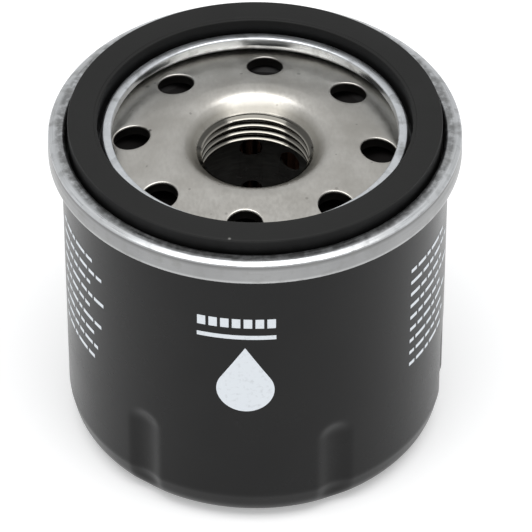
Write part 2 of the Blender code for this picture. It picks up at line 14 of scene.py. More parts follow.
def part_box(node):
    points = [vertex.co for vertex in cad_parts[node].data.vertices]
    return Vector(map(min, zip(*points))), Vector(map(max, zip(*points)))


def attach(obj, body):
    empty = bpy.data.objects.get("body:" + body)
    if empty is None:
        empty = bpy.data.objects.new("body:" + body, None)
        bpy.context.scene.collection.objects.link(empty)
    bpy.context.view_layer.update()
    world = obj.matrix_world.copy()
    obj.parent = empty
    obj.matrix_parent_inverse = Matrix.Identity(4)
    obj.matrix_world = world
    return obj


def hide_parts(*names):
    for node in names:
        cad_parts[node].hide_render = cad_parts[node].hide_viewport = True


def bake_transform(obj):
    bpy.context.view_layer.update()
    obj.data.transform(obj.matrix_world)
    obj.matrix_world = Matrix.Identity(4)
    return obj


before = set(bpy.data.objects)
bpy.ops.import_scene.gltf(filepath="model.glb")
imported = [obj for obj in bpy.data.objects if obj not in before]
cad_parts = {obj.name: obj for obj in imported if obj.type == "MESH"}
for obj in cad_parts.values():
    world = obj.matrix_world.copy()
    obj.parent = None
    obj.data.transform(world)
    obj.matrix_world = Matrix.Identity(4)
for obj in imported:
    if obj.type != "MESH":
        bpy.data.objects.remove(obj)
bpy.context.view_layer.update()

MM = 0.001
MERGE = 1e-6

# Places and sizes that the frame already holds
CAN_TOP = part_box("can")[1].z
LID_LOW, LID_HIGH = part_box("seaming_lid")
GASKET_LOW, GASKET_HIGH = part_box("gasket")
PLATE_LOW, PLATE_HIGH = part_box("tapping_plate")
TUBE_LOW, TUBE_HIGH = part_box("centre_tube")
MEDIA_LOW, MEDIA_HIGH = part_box("filter_media")
HEIGHT = GASKET_HIGH.z
SEAM_RADIUS = LID_HIGH.x
SEAM_TOP = LID_HIGH.z
SEAM_BOTTOM = LID_LOW.z

# Room left between touching pieces, and the sheets
CLEARANCE = 0.3 * MM
SHEET = 0.48 * MM
INNER_SHEET = 0.5 * MM

# Seam and can
SEAM_LAYER = 0.63 * MM
CHUCK_WALL = SEAM_RADIUS - SHEET - 4 * SEAM_LAYER
CAN_RADIUS = 33.35 * MM
CREASE_Z = 6.1 * MM
CREASE_TURN = math.radians(12)
CORNER_RADIUS = 5.0 * MM
PANEL_RADIUS = 20.25 * MM
PANEL_RISE = 1.0 * MM
FLUTES = 6
FLUTE_START = math.radians(54.5)
FLUTE_WIDTH = 6.3 * MM
FLUTE_DEPTH = 0.8 * MM
FLUTE_TOP = HEIGHT - 43.5 * MM
FLUTE_SHOULDER = 0.5 * MM
FLUTE_FOOT = 0.6 * MM
FLUTE_FADE = 4.4 * MM
FLUTE_ROWS = 30

# Gasket and lid lip
GASKET_INNER = 27.1 * MM
GASKET_STEP = 0.16 * MM
LIP_INNER = 24.64 * MM
LIP_OUTER = 26.35 * MM
LIP_DEPTH = 1.5 * MM
GROOVE_FLOOR = GASKET_LOW.z - CLEARANCE

# Tapping plate and its M20 x 1.5 thread
PLATE_THICKNESS = 2.0 * MM
PLATE_SLOPE = math.radians(9.5)
CREST_RADIUS = 15.3 * MM
CREST_Z = HEIGHT - 4.73 * MM
CREST_ROUND = 4.15 * MM
FLANGE_RADIUS = 26.0 * MM
HUB_RADIUS = 11.7 * MM
MOUTH_SLOPE = math.radians(39.6)
THREAD_PITCH = 1.5 * MM
THREAD_MAJOR = 10.0 * MM
THREAD_MINOR = 9.188 * MM
THREAD_LEAD = 1.2 * MM
INLET_HOLES = 8
INLET_RADIUS = 3.125 * MM
INLET_CIRCLE = 21.33 * MM
INLET_START = math.radians(-4.7)
PUNCH_ROUND = 0.28 * MM
PUNCH_FLARE = 0.12 * MM
FLANGE_EDGE = 0.35 * MM
THREAD_CORE = THREAD_MINOR - 0.3 * MM
SECTOR_COLUMNS = 24
SECTOR_ROWS = 16
MOUTH_STEPS = 14
VALVE_FOOT = 10.3 * MM

# Element
PLEATS = 48
PLEAT_ROOT = 13.2 * MM
PLEAT_FOLD = 0.45 * MM
PAPER = 0.6 * MM
TUBE_INNER = 12.0 * MM
PERFORATION_RADIUS = 2.0 * MM
PERFORATION_STEP = math.radians(-34)
PERFORATION_DROP = 1.8 * MM
PERFORATION_ROWS = 2
FIRST_PERFORATION = math.radians(93.3)
FIRST_PERFORATION_Z = HEIGHT - 16.7 * MM
PERFORATION_MARGIN = PERFORATION_RADIUS + 0.15 * MM

# Bypass valve and springs
COIL_STEPS = 48
SEAT_RADIUS = 6.0 * MM
CUP_RADIUS = 10.1 * MM
WASHER_BORE = 1.7 * MM
PIN_BORE = 2.6 * MM

# Printing: height of the blocks of dashes, and the width that still bends round the can
DASH_CENTRE = 38 * MM
DASH_HEIGHT = 0.75 * MM
DASH_GAP = 0.55 * MM
DASH_WIDTHS = (1.6, 2.6, 1.2, 3.4, 2.0, 1.4, 2.8, 1.8)
BEND_STEP = 0.8 * MM
INK = 0.02 * MM
INK_LIFT = 0.012 * MM

# Camera, from the gasket's centre
CAMERA_DISTANCE = 799.4 * MM
CAMERA_ELEVATION = math.radians(39.57)
CAMERA_TILT = math.radians(41.39)
CAMERA_PAN = math.radians(-0.175)
CAMERA_LENS = 315.9


# Modelling by hand


def pick(piece):
    """Select only this piece and make it the active one."""
    bpy.ops.object.select_all(action="DESELECT")
    piece.select_set(True)
    bpy.context.view_layer.objects.active = piece


def edit(piece):
    pick(piece)
    bpy.ops.object.mode_set(mode="EDIT")
    bpy.ops.mesh.select_mode(type="VERT")


def edit_new(name):
    """Name the primitive just added, and go on with it in edit mode."""
    piece = bpy.context.object
    piece.name = name
    bpy.ops.object.mode_set(mode="EDIT")
    bpy.ops.mesh.select_mode(type="VERT")
    return piece


def leave_edit():
    bpy.ops.object.mode_set(mode="OBJECT")
    return bpy.context.object


def edit_mesh():
    return bmesh.from_edit_mesh(bpy.context.object.data)


def show_edits():
    bmesh.update_edit_mesh(bpy.context.object.data)


def select_all():
    bpy.ops.mesh.select_all(action="SELECT")


def select_nothing():
    bpy.ops.mesh.select_all(action="DESELECT")


def select_verts(wanted):
    """In edit mode, select only the vertices that the test picks, and what lies between them."""
    bpy.ops.mesh.select_mode(type="VERT")
    select_nothing()
    shape = edit_mesh()
    for vertex in shape.verts:
        vertex.select = wanted(vertex.co)
    shape.select_flush_mode()
    show_edits()


def move_selected(place):
    """In edit mode, put each selected vertex where place says."""
    shape = edit_mesh()
    for vertex in shape.verts:
        if vertex.select:
            vertex.co = place(vertex.co)
    show_edits()


def merge_doubles(distance=MERGE):
    select_all()
    bpy.ops.mesh.remove_doubles(threshold=distance)


def extrude_selected(rise=0.0):
    """In edit mode, extrude the selected edges straight up, or in place."""
    bpy.ops.mesh.extrude_edges_move(TRANSFORM_OT_translate={"value": (0, 0, rise)})


def rounded(corners, steps=5):
    """Outline points of (x, z, rounding) corners, each rounding above zero drawn as an arc."""
    points = []
    for i, (x, z, size) in enumerate(corners):
        here = Vector((x, z))
        if size == 0:
            points.append(here)
            continue
        before = Vector(corners[i - 1][:2]) - here
        after = Vector(corners[(i + 1) % len(corners)][:2]) - here
        half = before.angle(after) / 2
        centre = here + (before.normalized() + after.normalized()).normalized() * size / math.sin(half)
        start = here + before.normalized() * size / math.tan(half) - centre
        end = here + after.normalized() * size / math.tan(half) - centre
        sweep = start.angle_signed(end)
        for step in range(steps + 1):
            turn = Matrix.Rotation(-sweep * step / steps, 2)
            points.append(centre + turn @ start)
    return [(point.x, point.y) for point in points]


def plain_section(inner, outer, low, high, size):
    """Corners of a rectangular section, all rounded alike, for a ring."""
    return [(outer, low, size), (outer, high, size), (inner, high, size), (inner, low, size)]


def arc(centre, radius, start, end, steps):
    """Points of a circular arc between two angles from +x, in radians."""
    angles = [start + (end - start) * i / steps for i in range(steps + 1)]
    return [(centre[0] + radius * math.cos(a), centre[1] + radius * math.sin(a)) for a in angles]


def draw_line(name, points, closed=False):
    """Draw a line of (x, y, z) points, one vertex extruded from another, and stay in edit mode."""
    bpy.ops.mesh.primitive_plane_add(size=MM)
    edit_new(name)
    bpy.ops.mesh.merge(type="CENTER")
    bpy.ops.transform.translate(value=points[0])
    for last, point in zip(points, points[1:]):
        step = [b - a for a, b in zip(last, point)]
        bpy.ops.mesh.extrude_vertices_move(TRANSFORM_OT_translate={"value": step})
    if closed:
        shape = edit_mesh()
        shape.verts.ensure_lookup_table()
        shape.verts[0].select = True
        show_edits()
        bpy.ops.mesh.edge_face_add()


def clean(outside=None):
    """Merge doubles and face outwards; an open sheet faces along outside = (point, direction)."""
    merge_doubles()
    bpy.ops.mesh.normals_make_consistent(inside=False)
    shape = edit_mesh()
    if outside is None:
        inverted = shape.calc_volume(signed=True) < 0
    else:
        point, direction = Vector(outside[0]), Vector(outside[1])
        nearest = min(shape.faces, key=lambda face: (face.calc_center_median() - point).length)
        inverted = nearest.normal.dot(direction) < 0
    if inverted:
        bpy.ops.mesh.flip_normals()


def turn(name, outline, steps, closed=True, outside=None):
    """Spin an outline of (radius, height) points about the filter's axis."""
    draw_line(name, [(r, 0, z) for r, z in outline], closed)
    select_all()
    bpy.ops.mesh.spin(steps=steps, angle=math.tau, center=(0, 0, 0), axis=(0, 0, 1))
    clean(outside)
    return leave_edit()


def copy_round(count):
    """In edit mode, repeat everything selected evenly about the axis."""
    for _ in range(count - 1):
        bpy.ops.mesh.duplicate()
        angle = math.tau / count
        bpy.ops.transform.rotate(value=angle, orient_axis="Z", center_override=(0, 0, 0))


def apply_modifier(piece, kind, **settings):
    pick(piece)
    modifier = piece.modifiers.new(kind.lower(), kind)
    for key, value in settings.items():
        setattr(modifier, key, value)
    bpy.ops.object.modifier_apply(modifier=modifier.name)


def thicken(piece, thickness, offset=-1.0):
    apply_modifier(piece, "SOLIDIFY", thickness=thickness, offset=offset, use_even_offset=True)


def cut(piece, tool):
    apply_modifier(piece, "BOOLEAN", operation="DIFFERENCE", solver="EXACT", object=tool)
    bpy.data.objects.remove(tool, do_unlink=True)


def finish(piece, material, body, stands_for=None, blend=None, sharp=35):
    """Smooth, paint and hand a piece to the body that carries it; a piece given a blend is left
    without a body, its placement baked into its mesh.
    """
    pick(piece)
    bpy.ops.object.shade_smooth_by_angle(angle=math.radians(sharp))
    piece.data.materials.clear()
    piece.data.materials.append(material)
    if blend is None:
        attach(piece, body)
    else:
        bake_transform(piece)
    if stands_for:
        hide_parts(stands_for)


# Node groups and materials


def add_node(tree, kind, inputs=None, **settings):
    """Add a shader node; inputs holds numbers, colours or the outputs of other nodes."""
    made = tree.nodes.new("ShaderNode" + kind)
    for key, value in settings.items():
        setattr(made, key, value)
    for key, value in (inputs or {}).items():
        if isinstance(value, bpy.types.NodeSocket):
            tree.links.new(value, made.inputs[key])
        else:
            made.inputs[key].default_value = value
    return made


def set_inputs(node, values):
    for key, value in values.items():
        node.inputs[key].default_value = value


def new_group(name, inputs, outputs):
    """An empty node group with its sockets, and its input and output nodes."""
    tree = bpy.data.node_groups.new(name, "ShaderNodeTree")
    for socket, default in inputs:
        kind = "NodeSocketVector" if socket == "Vector" else "NodeSocketFloat"
        item = tree.interface.new_socket(socket, in_out="INPUT", socket_type=kind)
        if default is not None:
            item.default_value = default
    for socket in outputs:
        tree.interface.new_socket(socket, in_out="OUTPUT", socket_type="NodeSocketFloat")
    return tree, tree.nodes.new("NodeGroupInput").outputs, tree.nodes.new("NodeGroupOutput").inputs


def math_node(tree, operation, a, b=0.0):
    return add_node(tree, "Math", {0: a, 1: b}, operation=operation).outputs[0]


def axis_distance(tree, x, y):
    """Distance from the filter's axis, from two coordinates."""
    across = math_node(tree, "MULTIPLY", x, x)
    along = math_node(tree, "MULTIPLY", y, y)
    return math_node(tree, "SQRT", math_node(tree, "ADD", across, along))


def make_mottle_group():
    """Cloudy patches from 0 to 1: stains, uneven sheen, orange peel."""
    sockets = [("Vector", None), ("Scale", 300.0), ("Detail", 3.0), ("Low", 0.35), ("High", 0.65)]
    tree, given, result = new_group("mottle", sockets, ["Mask"])
    noise = add_node(
        tree,
        "TexNoise",
        {"Vector": given["Vector"], "Scale": given["Scale"], "Detail": given["Detail"]},
    )
    limits = {0: noise.outputs[0], 1: given["Low"], 2: given["High"]}
    spread = add_node(tree, "MapRange", limits)
    tree.links.new(spread.outputs[0], result["Mask"])
    return tree


def make_specks_group():
    """Small round specks scattered at random: dust, grit and pits."""
    sockets = [("Vector", None), ("Scale", 400.0), ("Size", 0.12), ("Share", 0.2)]
    tree, given, result = new_group("specks", sockets, ["Mask"])
    cells = add_node(tree, "TexVoronoi", {"Vector": given["Vector"], "Scale": given["Scale"]})
    chance = add_node(tree, "SeparateColor", {0: cells.outputs["Color"]})
    chosen = math_node(tree, "LESS_THAN", chance.outputs[0], given["Share"])
    size = math_node(tree, "MULTIPLY", given["Size"], chance.outputs[1])
    near = add_node(tree, "MapRange", {0: cells.outputs["Distance"], 1: size, 2: 0.0})
    speck = math_node(tree, "MULTIPLY", near.outputs[0], chosen)
    sharp = math_node(tree, "MULTIPLY", speck, 2.5)
    bounded = math_node(tree, "MINIMUM", sharp, 1.0)
    tree.links.new(bounded, result["Mask"])
    return tree


def make_round_streaks_group():
    """Streaks that run round the axis, as a seaming roll or a lathe leaves them."""
    sockets = [("Vector", None), ("Across", 1500.0), ("Along", 3.0)]
    tree, given, result = new_group("round_streaks", sockets, ["Mask"])
    place = add_node(tree, "SeparateXYZ", {0: given["Vector"]})
    x, y, z = place.outputs
    radius = axis_distance(tree, x, y)
    across = math_node(tree, "MULTIPLY", math_node(tree, "SUBTRACT", radius, z), given["Across"])
    unit = [math_node(tree, "DIVIDE", side, radius) for side in (x, y)]
    along = [math_node(tree, "MULTIPLY", side, given["Along"]) for side in unit]
    polar = add_node(tree, "CombineXYZ", {0: along[0], 1: along[1], 2: across})
    noise = add_node(tree, "TexNoise", {"Vector": polar.outputs[0], "Scale": 1.0, "Detail": 4.0})
    spread = add_node(tree, "MapRange", {0: noise.outputs[0], 1: 0.3, 2: 0.7})
    tree.links.new(spread.outputs[0], result["Mask"])
    return tree


class Finish:
    """A material in the making: its Principled shader and a few short ways to feed it."""

    def __init__(self, name, roughness, metallic=0.0, ior=1.5):
        self.material = bpy.data.materials.new(name)
        self.material.use_nodes = True
        self.tree = self.material.node_tree
        self.shader = self.tree.nodes["Principled BSDF"]
        set_inputs(self.shader, {"Roughness": roughness, "Metallic": metallic, "IOR": ior})
        self.place = add_node(self.tree, "TexCoord").outputs["Object"]
        self.normal = None

    def stretched(self, scale):
        """Object coordinates scaled by axis, for grain that runs one way."""
        return add_node(self.tree, "Mapping", {"Vector": self.place, "Scale": scale}).outputs[0]

    def effect(self, group, **inputs):
        made = self.tree.nodes.new("ShaderNodeGroup")
        made.node_tree = group
        vector = inputs.pop("Vector", self.place)
        self.tree.links.new(vector, made.inputs["Vector"])
        set_inputs(made, inputs)
        return made.outputs["Mask"]

    def from_axis(self):
        """Distance from the filter's axis, and height."""
        x, y, z = add_node(self.tree, "SeparateXYZ", {0: self.place}).outputs
        return axis_distance(self.tree, x, y), z

    def ramp(self, value, start, end):
        """0 at start and 1 at end, level beyond both."""
        return add_node(self.tree, "MapRange", {0: value, 1: start, 2: end}).outputs[0]

    def scaled(self, mask, amount):
        """A mask weakened by a number, or held to where another mask is."""
        return math_node(self.tree, "MULTIPLY", mask, amount)

    def mix(self, mask, a, b):
        """Colour a where the mask is 0 and b where it is 1; a may be a mix made before."""
        made = add_node(self.tree, "Mix", {0: mask}, data_type="RGBA")
        for socket, colour in ((made.inputs[6], a), (made.inputs[7], b)):
            if isinstance(colour, bpy.types.NodeSocket):
                self.tree.links.new(colour, socket)
            else:
                socket.default_value = (*colour, 1)
        return made.outputs[2]

    def colour(self, source):
        self.tree.links.new(source, self.shader.inputs["Base Color"])

    def tint(self, base, mask, amount, colour):
        """Base, with another colour over it where the mask is, as strongly as amount."""
        return self.mix(self.scaled(mask, amount), base, colour)

    def roughness(self, mask, low, high):
        spread = add_node(self.tree, "MapRange", {0: mask, 3: low, 4: high})
        self.tree.links.new(spread.outputs[0], self.shader.inputs["Roughness"])

    def bump(self, height, distance, strength=1.0):
        inputs = {"Height": height, "Distance": distance, "Strength": strength}
        if self.normal is not None:
            inputs["Normal"] = self.normal
        self.normal = add_node(self.tree, "Bump", inputs).outputs[0]
        self.tree.links.new(self.normal, self.shader.inputs["Normal"])


def black_paint():
    """Satin stove enamel with faint orange peel and a little dust."""
    made = Finish("black_enamel", 0.25, ior=1.29)
    cloud = made.effect(mottle, Scale=60.0, Detail=4.0)
    peel = made.effect(mottle, Scale=900.0, Detail=1.0)
    dust = made.effect(specks, Scale=330.0, Size=0.16, Share=0.035)
    base = made.mix(cloud, (0.0032, 0.0032, 0.0033), (0.0048, 0.0048, 0.0048))
    made.colour(made.mix(dust, base, (0.09, 0.09, 0.088)))
    made.roughness(cloud, 0.22, 0.29)
    made.bump(peel, 0.004 * MM, 0.5)
    made.bump(dust, 0.02 * MM, 0.6)
    return made.material


def lid_zinc():
    """Zinc-plated lid sheet, burnished in streaks by the seaming rolls and lightly stained; painted
    shade darkens the seam's wall and a line under its top, painted highlights light its lower edge and
    the lip.
    """
    made = Finish("lid_zinc", 0.3, metallic=1.0)
    streaks = made.effect(round_streaks, Across=2600.0, Along=4.0)
    stains = made.effect(mottle, Scale=420.0, Detail=5.0, Low=0.52, High=0.78)
    cloud = made.effect(mottle, Scale=110.0, Detail=3.0)
    base = made.mix(streaks, (0.66, 0.675, 0.69), (0.82, 0.835, 0.85))
    base = made.tint(base, cloud, 0.35, (0.6, 0.6, 0.59))
    radius, height = made.from_axis()
    # Painted shade: the seam's outer wall below its top is painted dark, with lighter uneven patches
    # in it, for the dark surroundings it reflects.
    wall = made.ramp(height, SEAM_TOP - 0.45 * MM, SEAM_TOP - 0.62 * MM)
    base = made.tint(base, wall, 0.85, (0.2, 0.2, 0.2))
    drawn = made.stretched((1.0, 1.0, 0.35))
    rolled = made.effect(mottle, Vector=drawn, Scale=95.0, Detail=4.0, Low=0.42, High=0.66)
    wall_shade_patches = made.scaled(wall, rolled)
    base = made.tint(base, wall_shade_patches, 0.6, (0.36, 0.36, 0.36))
    # Painted shade: a dark line round the seam's wall just under its bright top band.
    shade_in = made.ramp(height, SEAM_TOP - 0.5 * MM, SEAM_TOP - 0.7 * MM)
    shade_out = made.ramp(height, SEAM_TOP - 1.5 * MM, SEAM_TOP - 0.8 * MM)
    painted_shade_line = made.scaled(shade_in, shade_out)
    base = made.tint(base, painted_shade_line, 0.6, (0.1, 0.1, 0.1))
    # Painted highlight: a lighter line along the seam's rounded lower edge.
    edge = made.ramp(height, SEAM_BOTTOM + 0.9 * MM, SEAM_BOTTOM + 0.5 * MM)
    base = made.tint(base, edge, 0.3, (0.75, 0.76, 0.76))
    # A darker grey mottle over the inner part of the seam's top.
    seam_inner_band = made.ramp(radius, SEAM_RADIUS - 1.0 * MM, SEAM_RADIUS - 1.6 * MM)
    grit = made.effect(mottle, Scale=900.0, Detail=5.0, Low=0.3, High=0.6)
    seam_inner_mottle = made.scaled(seam_inner_band, grit)
    base = made.tint(base, seam_inner_mottle, 0.75, (0.2, 0.2, 0.2))
    # Painted highlight: the lip inside the gasket is painted bluish white, standing in for the
    # reflection along its rounded top.
    lip = made.ramp(radius, GASKET_INNER - 0.1 * MM, GASKET_INNER - 0.3 * MM)
    base = made.tint(base, lip, 0.8, (0.9, 0.93, 0.96))
    made.colour(made.tint(base, stains, 0.7, (0.22, 0.22, 0.21)))
    made.roughness(streaks, 0.26, 0.42)
    made.bump(streaks, 0.006 * MM, 0.6)
    made.bump(stains, 0.006 * MM, 0.5)
    return made.material


def plate_steel():
    """Bright pressed plate: faint mottling, small dark specks, painted shade on the punched walls, the
    lead-in cone and the thread's flanks and roots, shiny thread.
    """
    made = Finish("plate_steel", 0.34, metallic=1.0)
    grain = made.effect(mottle, Vector=made.stretched((1.0, 0.5, 1.0)), Scale=1900.0, Detail=3.0)
    cloud = made.effect(mottle, Scale=150.0, Detail=5.0, Low=0.4, High=0.75)
    fine = made.effect(specks, Scale=800.0, Size=0.34, Share=0.12)
    pits = made.effect(specks, Scale=330.0, Size=0.13, Share=0.2)
    base = made.mix(grain, (0.61, 0.59, 0.55), (0.66, 0.64, 0.6))
    base = made.tint(base, cloud, 0.75, (0.47, 0.45, 0.41))
    base = made.tint(base, fine, 0.45, (0.2, 0.19, 0.17))
    base = made.tint(base, pits, 0.75, (0.09, 0.085, 0.08))
    radius, height = made.from_axis()
    # Painted shade: everything below the plate's upper face beyond the crest, the punched hole walls
    # included, is painted nearly black.
    fall = made.scaled(radius, math.tan(PLATE_SLOPE))
    level = math_node(made.tree, "ADD", height, fall)
    face = CREST_Z + CREST_RADIUS * math.tan(PLATE_SLOPE)
    below = made.ramp(level, face - 0.22 * MM, face - 0.5 * MM)
    web = made.ramp(radius, CREST_RADIUS, CREST_RADIUS + MM)
    punched = made.scaled(below, web)
    base = made.tint(base, punched, 0.9, (0.05, 0.048, 0.045))
    tapped = made.ramp(radius, THREAD_MAJOR + 0.3 * MM, THREAD_MAJOR)
    # Painted shade: the lead-in cone above the thread is painted darker.
    cone = made.ramp(radius, THREAD_MAJOR + 2.2 * MM, THREAD_MAJOR + 0.9 * MM)
    base = made.tint(base, cone, 0.6, (0.2, 0.185, 0.15))
    # Painted shade: the thread's flanks and roots are painted nearly black, leaving only the crests
    # bright.
    groove = made.ramp(radius, THREAD_MINOR + 0.12 * MM, THREAD_MINOR + 0.3 * MM)
    painted_thread_shade = made.scaled(groove, made.ramp(radius, THREAD_MAJOR + 0.12 * MM, THREAD_MAJOR))
    made.colour(made.tint(base, painted_thread_shade, 0.85, (0.07, 0.068, 0.06)))
    sheen = add_node(made.tree, "MapRange", {0: grain, 3: 0.3, 4: 0.38}).outputs[0]
    gloss = made.ramp(made.scaled(tapped, 0.6), 1.0, 0.0)
    made.tree.links.new(made.scaled(sheen, gloss), made.shader.inputs["Roughness"])
    made.bump(grain, 0.002 * MM, 0.5)
    made.bump(cloud, 0.02 * MM, 0.2)
    return made.material


def rubber(name, colour, dusty):
    """Moulded rubber: matt, finely grained, with dust that clings to it; its face at the gasket's top
    is painted lighter than its sides, as painted light and shade.
    """
    made = Finish(name, 0.6, ior=1.36)
    cloud = made.effect(mottle, Scale=90.0, Detail=4.0)
    skin = made.effect(mottle, Scale=2400.0, Detail=2.0)
    dust = made.effect(specks, Scale=230.0, Size=0.13, Share=dusty)
    base = made.mix(cloud, colour, [1.35 * part for part in colour])
    # Painted light and shade: the top face at the gasket's height is painted lighter, and the sides
    # below it stay darker as painted shade.
    painted_top_light = made.ramp(made.from_axis()[1], HEIGHT - 0.5 * MM, HEIGHT - 0.3 * MM)
    base = made.mix(painted_top_light, base, (0.0115, 0.0115, 0.011))
    made.colour(made.mix(dust, base, (0.2, 0.2, 0.19)))
    made.roughness(cloud, 0.52, 0.64)
    made.bump(skin, 0.01 * MM, 0.4)
    return made.material


def sheet_steel(name, dark, light, roughness, metallic=1.0):
    """Small pressed and wound pieces: rolled grain, stains, fine scratches round the axis."""
    made = Finish(name, roughness, metallic=metallic)
    streaks = made.effect(round_streaks, Across=1800.0, Along=5.0)
    stains = made.effect(mottle, Scale=260.0, Detail=5.0, Low=0.45, High=0.75)
    base = made.mix(streaks, dark, light)
    made.colour(made.tint(base, stains, 0.5, [0.55 * part for part in dark]))
    made.roughness(stains, roughness - 0.06, roughness + 0.1)
    made.bump(streaks, 0.004 * MM, 0.5)
    return made.material


def filter_paper():
    """Resin-cured pleating paper with matted fibres."""
    made = Finish("filter_paper", 0.88)
    fibres = made.effect(mottle, Vector=made.stretched((1.0, 1.0, 0.3)), Scale=2600.0, Detail=5.0)
    cloud = made.effect(mottle, Scale=130.0, Detail=4.0)
    base = made.mix(cloud, (0.14, 0.06, 0.03), (0.18, 0.08, 0.045))
    made.colour(made.tint(base, fibres, 0.45, (0.06, 0.025, 0.012)))
    made.roughness(fibres, 0.78, 0.95)
    made.bump(fibres, 0.03 * MM, 0.7)
    return made.material


def cast_resin(name, dark, light):
    """Poured adhesive or lining compound: glossy skin with small bubbles."""
    made = Finish(name, 0.42)
    cloud = made.effect(mottle, Scale=170.0, Detail=3.0)
    bubbles = made.effect(specks, Scale=700.0, Size=0.35, Share=0.3)
    made.colour(made.mix(made.scaled(bubbles, 0.4), made.mix(cloud, dark, light), dark))
    made.roughness(cloud, 0.34, 0.52)
    made.bump(bubbles, 0.03 * MM, 0.6)
    return made.material


def print_ink():
    """White pad-printed ink, a little uneven where the pad lifted."""
    made = Finish("white_ink", 0.5)
    cover = made.effect(mottle, Scale=1300.0, Detail=3.0, Low=0.55, High=0.85)
    made.colour(made.mix(made.scaled(cover, 0.5), (0.72, 0.76, 0.8), (0.4, 0.42, 0.44)))
    made.roughness(cover, 0.42, 0.6)
    made.bump(cover, 0.004 * MM, 0.4)
    return made.material


# Outside of the filter


def press_flute(co):
    """Where a point of the drawn can goes when the wrench flutes are pressed in."""
    radius = math.hypot(co.x, co.y)
    fade = min(max((co.z - FLUTE_FOOT) / (FLUTE_FADE - FLUTE_FOOT), 0.0), 1.0)
    bar = (FLUTE_WIDTH**2 / 4 + FLUTE_DEPTH**2) / (2 * FLUTE_DEPTH)
    centre = CAN_RADIUS - FLUTE_DEPTH + bar
    dome = FLUTE_TOP - math.sqrt(bar**2 - (centre - CAN_RADIUS) ** 2)
    pitch = math.tau / FLUTES
    angle = (math.atan2(co.y, co.x) - FLUTE_START + pitch / 2) % pitch - pitch / 2
    inside = bar**2 - max(co.z - dome, 0.0) ** 2 - (centre * math.sin(angle)) ** 2
    if inside <= 0 or fade == 0:
        return co
    tool = centre * math.cos(angle) - math.sqrt(inside)
    blend = max(FLUTE_SHOULDER - abs(CAN_RADIUS - tool), 0.0) / FLUTE_SHOULDER
    depth = max(CAN_RADIUS - tool, 0.0) + blend**2 * FLUTE_SHOULDER / 4
    pressed = radius - depth * fade * fade * (3 - 2 * fade)
    return Vector((co.x * pressed / radius, co.y * pressed / radius, co.z))


def make_can(material):
    """Drawn can: hook inside the seam, straight wall, pressed flutes, corner and base panel."""
    hook_inner = CHUCK_WALL + SEAM_LAYER + SHEET
    hook_outer = CHUCK_WALL + 3 * SEAM_LAYER
    hook_top = CAN_TOP - SHEET
    fluted = FLUTE_TOP + 2 * MM
    lean = CAN_RADIUS * math.cos(CREASE_TURN) - CREASE_Z * math.sin(CREASE_TURN) - CORNER_RADIUS
    stand = (lean + CORNER_RADIUS * math.sin(CREASE_TURN)) / math.cos(CREASE_TURN)
    outline = rounded(
        [
            (hook_outer, SEAM_BOTTOM + 0.7 * MM, 0),
            (hook_outer, hook_top, 0.3 * MM),
            (hook_inner, hook_top, 0.3 * MM),
            (hook_inner, SEAM_BOTTOM - 0.4 * MM, 1.2 * MM),
            (CAN_RADIUS, SEAM_BOTTOM - 1.5 * MM, 1.2 * MM),
            (CAN_RADIUS, fluted, 0),
        ],
        4,
    )
    fall = fluted - CREASE_Z - 0.2 * MM
    outline += [(CAN_RADIUS, fluted - fall * i / FLUTE_ROWS) for i in range(1, FLUTE_ROWS + 1)]
    corner = arc((stand, CORNER_RADIUS), CORNER_RADIUS, -CREASE_TURN, -math.pi / 2, 14)
    slope = (Vector(corner[0]) - Vector((CAN_RADIUS, CREASE_Z))) / 4
    outline += [(CAN_RADIUS + slope.x * i, CREASE_Z + slope.y * i) for i in (0.5, 1, 2, 3)]
    outline += corner
    outline += rounded(
        [
            (stand, 0, 0),
            (PANEL_RADIUS + 1.3 * MM, 0, 0.8 * MM),
            (PANEL_RADIUS, PANEL_RISE, 0.8 * MM),
            (0, PANEL_RISE, 0),
        ],
        5,
    )[1:]
    side = ((CAN_RADIUS, 0, HEIGHT / 2), (1, 0, 0))
    can = turn("painted_can", outline, 480, closed=False, outside=side)
    edit(can)
    select_verts(lambda co: co.z < FLUTE_TOP + MM)
    move_selected(press_flute)
    leave_edit()
    thicken(can, SHEET)
    finish(can, material, "housing", "can")


def make_lid(material):
    """Seaming lid: hemmed lip, gasket groove, and the seam rolled round the can's rim."""
    hook = CHUCK_WALL + 2 * SEAM_LAYER
    outline = rounded(
        [
            (LIP_INNER, SEAM_TOP - LIP_DEPTH, 0),
            (LIP_INNER, SEAM_TOP, 0.38 * MM),
            (LIP_OUTER, SEAM_TOP, 0.38 * MM),
            (LIP_OUTER, GROOVE_FLOOR, 0.5 * MM),
            (CHUCK_WALL, GROOVE_FLOOR, 0.5 * MM),
            (CHUCK_WALL, SEAM_TOP, 0.6 * MM),
            (SEAM_RADIUS - 1.05 * MM, SEAM_TOP, 0.35 * MM),
            (SEAM_RADIUS - 0.06 * MM, SEAM_TOP - 0.42 * MM, 0.4 * MM),
            (SEAM_RADIUS - 0.09 * MM, SEAM_TOP - 1.5 * MM, 0.3 * MM),
            (SEAM_RADIUS, SEAM_TOP - 2.1 * MM, 0.4 * MM),
            (SEAM_RADIUS, SEAM_BOTTOM, 0.5 * MM),
            (hook, SEAM_BOTTOM, 0.3 * MM),
            (hook, SEAM_TOP - 1.95 * MM, 0),
        ],
        5,
    )
    side = ((SEAM_RADIUS, 0, SEAM_BOTTOM + MM), (1, 0, 0))
    lid = turn("rolled_lid", outline, 300, closed=False, outside=side)
    thicken(lid, SHEET)
    finish(lid, material, "housing", "seaming_lid")


def make_seam_compound(material):
    low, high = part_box("seam_compound")
    inner = CHUCK_WALL + SEAM_LAYER + 0.2 * MM
    outline = plain_section(inner, high.x, low.z, high.z, 0.12 * MM)
    ring = turn("seam_lining", rounded(outline, 3), 240)
    finish(ring, material, "housing", "seam_compound")


